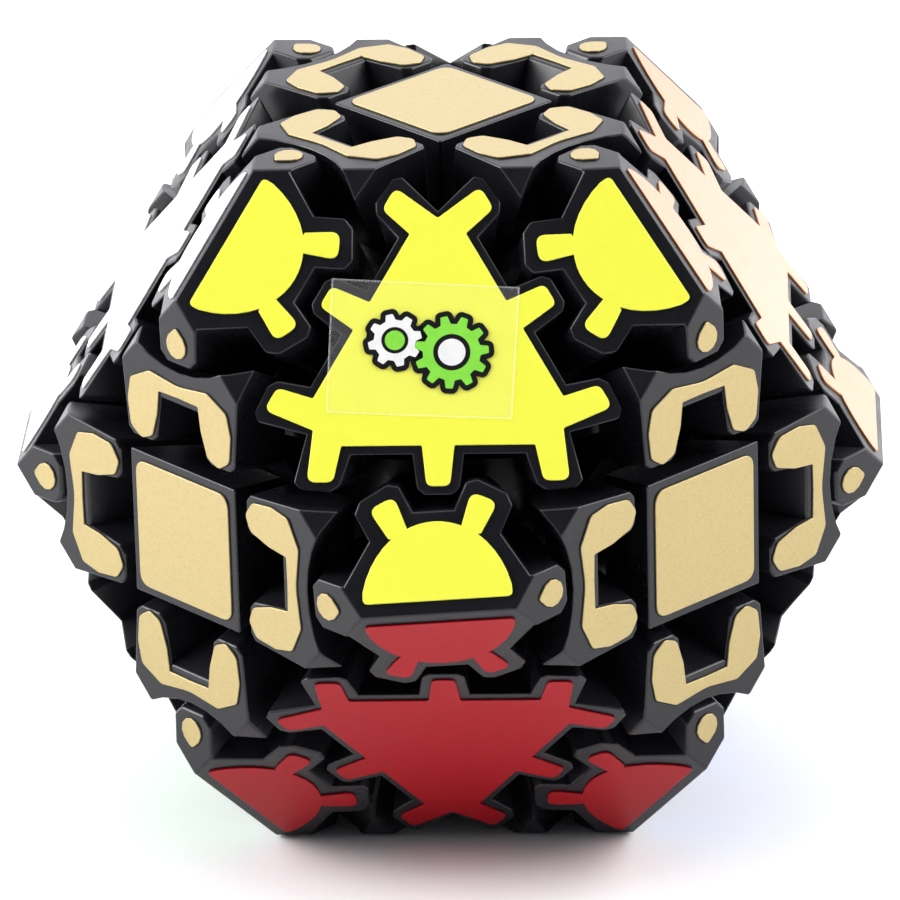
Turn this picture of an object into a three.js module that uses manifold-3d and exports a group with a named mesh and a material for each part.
// A gear-coupled twisty puzzle in the form of a cube with its corners cut down to a truncated
// octahedron: six square faces (one per turning axis end) and eight hexagonal faces.
//
// Axes: +Z up, +X right, -Y front. The origin is the centre of the core.
// Lengths are millimetres. The pieces are cut by shells round the origin:
//   inside FOOT_OUTER      the feet of edges and corners run round the core,
//   up to BODY_OUTER       their bodies are separated by planes,
//   beyond GEAR_BASE       every flank is a cone with its apex at the origin, so it is written as a
//                          slope (offset divided by the distance along the axis of the outline).

import * as THREE from 'three';
import { ConvexGeometry } from 'three/addons/geometries/ConvexGeometry.js';
import { mergeVertices } from 'three/addons/utils/BufferGeometryUtils.js';
import Module from 'manifold-3d';

const wasm = await Module();
wasm.setup();

// ---- Outer form ----------------------------------------------------------------------------
const SQUARE_FACE = 35; // distance of the six square faces from the origin
const HEX_FACE_SUM = 59.76; // |x| + |y| + |z| on the eight hexagonal faces
const HEX_FACE = HEX_FACE_SUM / Math.sqrt(3); // their distance from the origin

// ---- Shells --------------------------------------------------------------------------------
const CORE_RADIUS = 10.6;
const FOOT_INNER = 11.5;
const FOOT_OUTER = 19;
const BODY_INNER = 19.6;
const BODY_OUTER = 26.9;
const GEAR_BASE = 27.5;

// ---- Planes between the layers inside BODY_OUTER ---------------------------------------------
const FOOT_NEAR = 5.5; // a foot keeps this far from the middle planes it doesn't cross
const NECK_HALF = 4.9; // half thickness of an edge's foot and neck
const NECK_REACH = 17.5; // the neck ends inside the body
const BODY_NEAR = 8.7; // the same distances on the bodies
const BODY_HALF = 8.1;

// ---- Gear and ring teeth ---------------------------------------------------------------------
const RING_TEETH = 20; // round each turning axis
const GEAR_TEETH = 6;
const RING_STEP = 360 / RING_TEETH;
const RING_ROOT = 0.371; // slopes of the ring teeth from the turning plane
const RING_FLANK = 0.275;
const RING_TIP = 0.258;
const CORNER_TOOTH = { root: 4.2, flank: 3.3, tip: 2.1 }; // half widths in degrees about the axis
const GEAR_POINTS = [[0.226, -16.5], [0.302, -12.8], [0.32, -7.5], [0.32, 7.5], [0.302, 12.8], [0.226, 16.5]];
const GEAR_BORE = { radius: 2.75, end: 33.5 };
const BOSS = { radius: 2.6, start: 24, end: 33.2 }; // the spindle that a gear turns on
const COLLAR = { radius: 4.5, end: 27.2, sides: 8 }; // the shoulder that a gear rests on
const GEAR_CLEARANCE = 0.338; // slope of the cone that a carrier leaves free round its gear
const GEAR_REST_TURN = 3.3; // degrees that the turned gears rest from their middle, within their play
const TURNED_GEARS = ['front_left', 'front_right', 'back_right', 'top_left', 'top_right'];
const PAD = { base: 27.3, rootSlope: 0.435, rootEnd: 0.49, rootHalf: 0.2 };
const PAD_LEG = { inner: 0.4, innerHalf: 0.2294, outer: 0.5, outerHalf: 0.238, wing: 0.247 };
const V_NOTCH = 14.35; // from a corner's face centre to the notch between two of its sides

// ---- Centre stack, as heights along its axis ---------------------------------------------------
const POST = { radius: 3, end: 13.9 };
const SCREW_HOLE = { radius: 1.75, start: 6, end: 15 };
const STEM = { bore: 3.2, radius: 4.8, start: 11.3, web: 14.5, floor: 16.5 };
const POCKET_RADIUS = 3.4;
const DISC = { radius: 8, top: 25.6 };
const CAP = { slope: 0.2143, start: 27.6, neck: 5.4, neckStart: 25.9, plug: 2.9, plugStart: 25 };
const SCREW = { head: 3, headStart: 22.4, headEnd: 24.4, shank: 1.45, tip: 6.5, slot: 0.8, slotDepth: 0.9 };
const SPRING = { outer: 3, inner: 2.1, start: 16.8, end: 22.1 };

const ROUND = 12; // sides of a turned piece
const BALL_DETAIL = 2; // a ball's facets lie up to 2% inside its radius

const radians = THREE.MathUtils.degToRad;
const tan = (degrees) => Math.tan(radians(degrees));
const vector = (x, y, z) => new THREE.Vector3(x, y, z);

// ---- Solids ------------------------------------------------------------------------------------

function solid(geometry) {
  const bare = geometry.clone();
  bare.deleteAttribute('normal');
  bare.deleteAttribute('uv');
  const merged = mergeVertices(bare, 1e-5);
  const vertProperties = new Float32Array(merged.attributes.position.array);
  const triVerts = new Uint32Array(merged.index.array);
  return new wasm.Manifold(new wasm.Mesh({ numProp: 3, vertProperties, triVerts }));
}

function geometryOf(manifold) {
  const { vertProperties, triVerts } = manifold.getMesh();
  const geometry = new THREE.BufferGeometry();
  geometry.setAttribute('position', new THREE.BufferAttribute(new Float32Array(vertProperties), 3));
  geometry.setIndex(new THREE.BufferAttribute(new Uint32Array(triVerts), 1));
  geometry.computeVertexNormals();
  return geometry;
}

function ball(radius) {
  return solid(new THREE.IcosahedronGeometry(radius, BALL_DETAIL));
}

function shell(inner, outer) {
  return ball(outer).subtract(ball(inner));
}

function box(low, high) {
  const size = vector(...high).sub(vector(...low));
  const middle = vector(...low).add(vector(...high)).multiplyScalar(0.5);
  return solid(new THREE.BoxGeometry(size.x, size.y, size.z).translate(middle.x, middle.y, middle.z));
}

// A round bar along +Z.
function bar(radius, start, end, sides = ROUND) {
  const geometry = new THREE.CylinderGeometry(radius, radius, end - start, sides);
  geometry.rotateX(Math.PI / 2);
  return geometry.translate(0, 0, (start + end) / 2);
}

// A cone-sided prism along +Z with its apex at the origin; the outline holds slopes.
function tapered(outline, near, far) {
  const shape = new THREE.Shape(outline);
  const geometry = new THREE.ExtrudeGeometry(shape, { depth: far - near, bevelEnabled: false });
  geometry.translate(0, 0, near);
  const position = geometry.attributes.position;
  for (let i = 0; i < position.count; i += 1) {
    const z = position.getZ(i);
    position.setXYZ(i, position.getX(i) * z, position.getY(i) * z, z);
  }
  return geometry;
}

function turned(points) {
  const profile = points.map(([radius, height]) => new THREE.Vector2(radius, height));
  return new THREE.LatheGeometry(profile, ROUND).rotateX(Math.PI / 2);
}

function outerForm() {
  const reach = HEX_FACE_SUM - SQUARE_FACE;
  const corners = [];
  for (const a of [-SQUARE_FACE, SQUARE_FACE]) {
    for (const b of [-reach, reach]) {
      corners.push(vector(a, b, 0), vector(a, 0, b), vector(0, a, b));
      corners.push(vector(b, a, 0), vector(b, 0, a), vector(0, b, a));
    }
  }
  return solid(new ConvexGeometry(corners));
}

const OUTER_FORM = outerForm();

// The frame of an edge piece between two faces: along the rim, across the layer, and outward.
function edgeBasis(faceA, faceB) {
  const outward = faceA.clone().add(faceB).normalize();
  const across = faceA.clone().cross(faceB);
  const along = across.clone().cross(outward);
  return new THREE.Matrix4().makeBasis(along, across, outward);
}

const EDGE_BASIS = edgeBasis(vector(1, 0, 0), vector(0, 1, 0));

// ---- Core, centres and their fasteners (made on the +Z axis) ----------------------------------

const SIDES = {
  top: vector(0, 0, 1),
  bottom: vector(0, 0, -1),
  front: vector(0, -1, 0),
  back: vector(0, 1, 0),
  right: vector(1, 0, 0),
  left: vector(-1, 0, 0),
};

function toSide(side) {
  return new THREE.Quaternion().setFromUnitVectors(vector(0, 0, 1), SIDES[side]);
}

function coreShape() {
  let core = ball(CORE_RADIUS);
  for (const side of Object.keys(SIDES)) {
    core = core.add(solid(bar(POST.radius, 0, POST.end).applyQuaternion(toSide(side))));
  }
  for (const side of Object.keys(SIDES)) {
    const hole = bar(SCREW_HOLE.radius, SCREW_HOLE.start, SCREW_HOLE.end);
    core = core.subtract(solid(hole.applyQuaternion(toSide(side))));
  }
  return geometryOf(core);
}

// The disc's underside follows the shell that the feet run in.
function centreBodyShape() {
  const shellHeight = (radius) => Math.sqrt(BODY_INNER ** 2 - radius ** 2);
  return turned([
    [STEM.bore, STEM.start],
    [STEM.radius, STEM.start],
    [STEM.radius, shellHeight(STEM.radius)],
    [DISC.radius, shellHeight(DISC.radius)],
    [DISC.radius, DISC.top],
    [POCKET_RADIUS, DISC.top],
    [POCKET_RADIUS, STEM.floor],
    [SCREW_HOLE.radius, STEM.floor],
    [SCREW_HOLE.radius, STEM.web],
    [STEM.bore, STEM.web],
    [STEM.bore, STEM.start],
  ]);
}

function centreCapShape() {
  const s = CAP.slope;
  const square = [[-s, -s], [s, -s], [s, s], [-s, s]].map(([x, y]) => new THREE.Vector2(x, y));
  const face = solid(tapered(square, CAP.start, SQUARE_FACE));
  const neck = solid(bar(CAP.neck, CAP.neckStart, CAP.start + 1));
  const plug = solid(bar(CAP.plug, CAP.plugStart, CAP.start + 1));
  return geometryOf(face.add(neck).add(plug));
}

function screwShape() {
  const head = solid(bar(SCREW.head, SCREW.headStart, SCREW.headEnd));
  const shank = solid(bar(SCREW.shank, SCREW.tip, SCREW.headStart + 1));
  const reach = SCREW.head * 0.6;
  const half = SCREW.slot / 2;
  const floor = SCREW.headEnd - SCREW.slotDepth;
  const slotA = box([-reach, -half, floor], [reach, half, SCREW.headEnd + 1]);
  const slotB = box([-half, -reach, floor], [half, reach, SCREW.headEnd + 1]);
  return geometryOf(head.add(shank).subtract(slotA.add(slotB)));
}

function springShape() {
  return turned([
    [SPRING.inner, SPRING.start],
    [SPRING.outer, SPRING.start],
    [SPRING.outer, SPRING.end],
    [SPRING.inner, SPRING.end],
    [SPRING.inner, SPRING.start],
  ]);
}

// ---- Edge pieces (made between +X and +Y) ------------------------------------------------------

// Half of a pad's outline: x runs from the face centre to the gear, y sideways, both as slopes.
function padHalfOutline() {
  const points = [
    [PAD_LEG.inner, tan(4.6)],
    [RING_ROOT, tan(4.8)],
    [RING_FLANK, tan(5.7)],
    [RING_TIP, tan(6.9)],
    [RING_TIP, tan(11.1)],
    [RING_FLANK, tan(12.3)],
    [PAD_LEG.inner, PAD_LEG.innerHalf],
    [PAD_LEG.outer, PAD_LEG.outerHalf],
  ];
  const arcSteps = 4;
  for (let i = 0; i < arcSteps; i += 1) {
    const sideways = PAD_LEG.wing * (1 - i / arcSteps);
    points.push([gearClearanceAt(sideways), sideways]);
  }
  return points;
}

// Where the clearance cone round the gear's axis meets a square face.
function gearClearanceAt(sideways) {
  const plus = 1 + GEAR_CLEARANCE ** 2;
  const minus = 1 - GEAR_CLEARANCE ** 2;
  return (plus - Math.sqrt(plus ** 2 - minus * (minus + 2 * sideways ** 2))) / minus;
}

function padOutline() {
  const half = padHalfOutline();
  const mirrored = half.map(([x, y]) => [x, -y]).reverse();
  const tip = [gearClearanceAt(0), 0];
  return [...mirrored, ...half, tip].map(([x, y]) => new THREE.Vector2(x, y));
}

// One U-shaped pad on its root, which stays outside the centre's disc; `face` is the square face
// that the pad reaches and `gearward` points to the gear.
function pad(face, gearward) {
  const rootStart = BODY_NEAR / PAD.rootSlope;
  const corners = [[PAD.rootSlope, -1], [PAD.rootEnd, -1], [PAD.rootEnd, 1], [PAD.rootSlope, 1]];
  const rootOutline = corners.map(([x, side]) => new THREE.Vector2(x, side * PAD.rootHalf));
  const basis = new THREE.Matrix4().makeBasis(gearward, face.clone().cross(gearward), face);
  const root = tapered(rootOutline, rootStart, PAD.base + 0.5).applyMatrix4(basis);
  const plate = tapered(padOutline(), PAD.base, SQUARE_FACE).applyMatrix4(basis);
  return solid(root).add(solid(plate));
}

function edgeCarrierShape() {
  const far = 2 * SQUARE_FACE;
  const foot = box([FOOT_NEAR, FOOT_NEAR, -NECK_HALF], [far, far, NECK_HALF]);
  const neck = box([BODY_NEAR, BODY_NEAR, -NECK_HALF], [NECK_REACH, NECK_REACH, NECK_HALF]);
  const body = box([BODY_NEAR, BODY_NEAR, -BODY_HALF], [far, far, BODY_HALF]);
  const boss = solid(bar(BOSS.radius, BOSS.start, BOSS.end).applyMatrix4(EDGE_BASIS));
  const collar = solid(bar(COLLAR.radius, BOSS.start, COLLAR.end, COLLAR.sides).applyMatrix4(EDGE_BASIS));
  return geometryOf(
    foot.intersect(shell(FOOT_INNER, FOOT_OUTER))
      .add(neck)
      .add(body.intersect(shell(BODY_INNER, BODY_OUTER)))
      .add(boss)
      .add(collar)
      .add(pad(vector(1, 0, 0), vector(0, 1, 0)))
      .add(pad(vector(0, 1, 0), vector(1, 0, 0)))
      .intersect(OUTER_FORM),
  );
}

function edgeGearShape() {
  const outline = [];
  for (let tooth = 0; tooth < GEAR_TEETH; tooth += 1) {
    const middle = (360 / GEAR_TEETH) * tooth;
    for (const [slope, degrees] of GEAR_POINTS) {
      const angle = radians(middle + degrees);
      outline.push(new THREE.Vector2(slope * Math.cos(angle), slope * Math.sin(angle)));
    }
  }
  const teeth = solid(tapered(outline, GEAR_BASE, GEAR_BASE * 2).applyMatrix4(EDGE_BASIS));
  const bore = solid(bar(GEAR_BORE.radius, GEAR_BASE - 1, GEAR_BORE.end).applyMatrix4(EDGE_BASIS));
  return geometryOf(teeth.intersect(OUTER_FORM).subtract(bore));
}

// ---- Corner pieces (made between +X, +Y and +Z) ------------------------------------------------

const CORNER_BASIS = new THREE.Matrix4().makeBasis(
  vector(-1, 1, 0).normalize(),
  vector(-1, -1, 2).normalize(),
  vector(1, 1, 1).normalize(),
);

// A ring-tooth point, given by its angle about the turning axis and its slope, as slopes on the
// hexagonal face.
function onHexFace(degrees, slope) {
  const angle = radians(45 + degrees);
  const point = vector(Math.cos(angle), Math.sin(angle), slope);
  point.applyMatrix4(CORNER_BASIS.clone().invert());
  return new THREE.Vector2(point.x / point.z, point.y / point.z);
}

// The three ring teeth on the corner's lower side, from its left notch to its right notch.
function cornerSide() {
  const notch = V_NOTCH / HEX_FACE;
  const { root, flank, tip } = CORNER_TOOTH;
  const rootAt = (degrees) => onHexFace(degrees, RING_ROOT * Math.cos(radians(degrees)));
  const points = [new THREE.Vector2(notch * Math.cos(radians(-150)), notch * Math.sin(radians(-150)))];
  for (const middle of [-RING_STEP, 0, RING_STEP]) {
    if (middle >= 0) {
      points.push(rootAt(middle - root));
    }
    points.push(onHexFace(middle - flank, RING_FLANK));
    points.push(onHexFace(middle - tip, RING_TIP));
    points.push(onHexFace(middle + tip, RING_TIP));
    points.push(onHexFace(middle + flank, RING_FLANK));
    if (middle <= 0) {
      points.push(rootAt(middle + root));
    }
  }
  return points;
}

function cornerPlate() {
  const outline = [];
  for (let side = 0; side < 3; side += 1) {
    const turn = radians(120 * side);
    outline.push(...cornerSide().map((point) => point.rotateAround(new THREE.Vector2(0, 0), turn)));
  }
  return solid(tapered(outline, BODY_OUTER - 0.5, HEX_FACE).applyMatrix4(CORNER_BASIS));
}

function cornerShape() {
  const far = 2 * SQUARE_FACE;
  const foot = box([FOOT_NEAR, FOOT_NEAR, FOOT_NEAR], [far, far, far]);
  const body = box([BODY_NEAR, BODY_NEAR, BODY_NEAR], [far, far, far]);
  return geometryOf(
    foot.intersect(shell(FOOT_INNER, FOOT_OUTER))
      .add(body.intersect(ball(BODY_OUTER)))
      .add(cornerPlate())
      .intersect(OUTER_FORM),
  );
}

// ---- Placement -------------------------------------------------------------------------------

function toEdge(sideA, sideB) {
  const basis = edgeBasis(SIDES[sideA], SIDES[sideB]).multiply(EDGE_BASIS.clone().invert());
  return new THREE.Quaternion().setFromRotationMatrix(basis);
}

// A corner with an odd number of negative sides has its X and Y sides exchanged, so that the turn
// stays a turn and never a mirroring.
function toCorner(signX, signY, signZ) {
  const x = vector(signX, 0, 0);
  const y = vector(0, signY, 0);
  const z = vector(0, 0, signZ);
  const even = signX * signY * signZ > 0;
  const basis = even ? new THREE.Matrix4().makeBasis(x, y, z) : new THREE.Matrix4().makeBasis(y, x, z);
  return new THREE.Quaternion().setFromRotationMatrix(basis);
}

const BLACK_PLASTIC = new THREE.MeshStandardMaterial({ color: 0x1c1c1e, roughness: 0.35, metalness: 0 });
const CORE_PLASTIC = new THREE.MeshStandardMaterial({ color: 0x3a3a3d, roughness: 0.5, metalness: 0 });
const STEEL = new THREE.MeshStandardMaterial({ color: 0xb9bbbe, roughness: 0.3, metalness: 1 });

const puzzle = new THREE.Group();

function place(name, geometry, material, rotation) {
  const mesh = new THREE.Mesh(geometry, material);
  mesh.name = name;
  mesh.quaternion.copy(rotation);
  puzzle.add(mesh);
}

function placeCentres() {
  const pieces = {
    centre_body: [centreBodyShape(), BLACK_PLASTIC],
    centre_cap: [centreCapShape(), BLACK_PLASTIC],
    centre_screw: [screwShape(), STEEL],
    centre_spring: [springShape(), STEEL],
  };
  for (const side of Object.keys(SIDES)) {
    for (const [name, [geometry, material]] of Object.entries(pieces)) {
      place(`${name}_${side}`, geometry, material, toSide(side));
    }
  }
}

function placeEdges() {
  const carrier = edgeCarrierShape();
  const gear = edgeGearShape();
  const pairs = [];
  for (const layer of ['top', 'bottom']) {
    for (const side of ['front', 'back', 'left', 'right']) {
      pairs.push([layer, side]);
    }
  }
  for (const depth of ['front', 'back']) {
    for (const side of ['left', 'right']) {
      pairs.push([depth, side]);
    }
  }
  const outward = vector(1, 1, 0).normalize();
  for (const [sideA, sideB] of pairs) {
    const turn = TURNED_GEARS.includes(`${sideA}_${sideB}`) ? GEAR_REST_TURN : 0;
    const rest = new THREE.Quaternion().setFromAxisAngle(outward, radians(turn));
    place(`edge_carrier_${sideA}_${sideB}`, carrier, BLACK_PLASTIC, toEdge(sideA, sideB));
    place(`edge_gear_${sideA}_${sideB}`, gear, BLACK_PLASTIC, toEdge(sideA, sideB).multiply(rest));
  }
}

function placeCorners() {
  const corner = cornerShape();
  for (const [layer, signZ] of [['top', 1], ['bottom', -1]]) {
    for (const [depth, signY] of [['front', -1], ['back', 1]]) {
      for (const [side, signX] of [['left', -1], ['right', 1]]) {
        place(`corner_${layer}_${depth}_${side}`, corner, BLACK_PLASTIC, toCorner(signX, signY, signZ));
      }
    }
  }
}

place('core', coreShape(), CORE_PLASTIC, new THREE.Quaternion());
placeCentres();
placeEdges();
placeCorners();

export default puzzle;
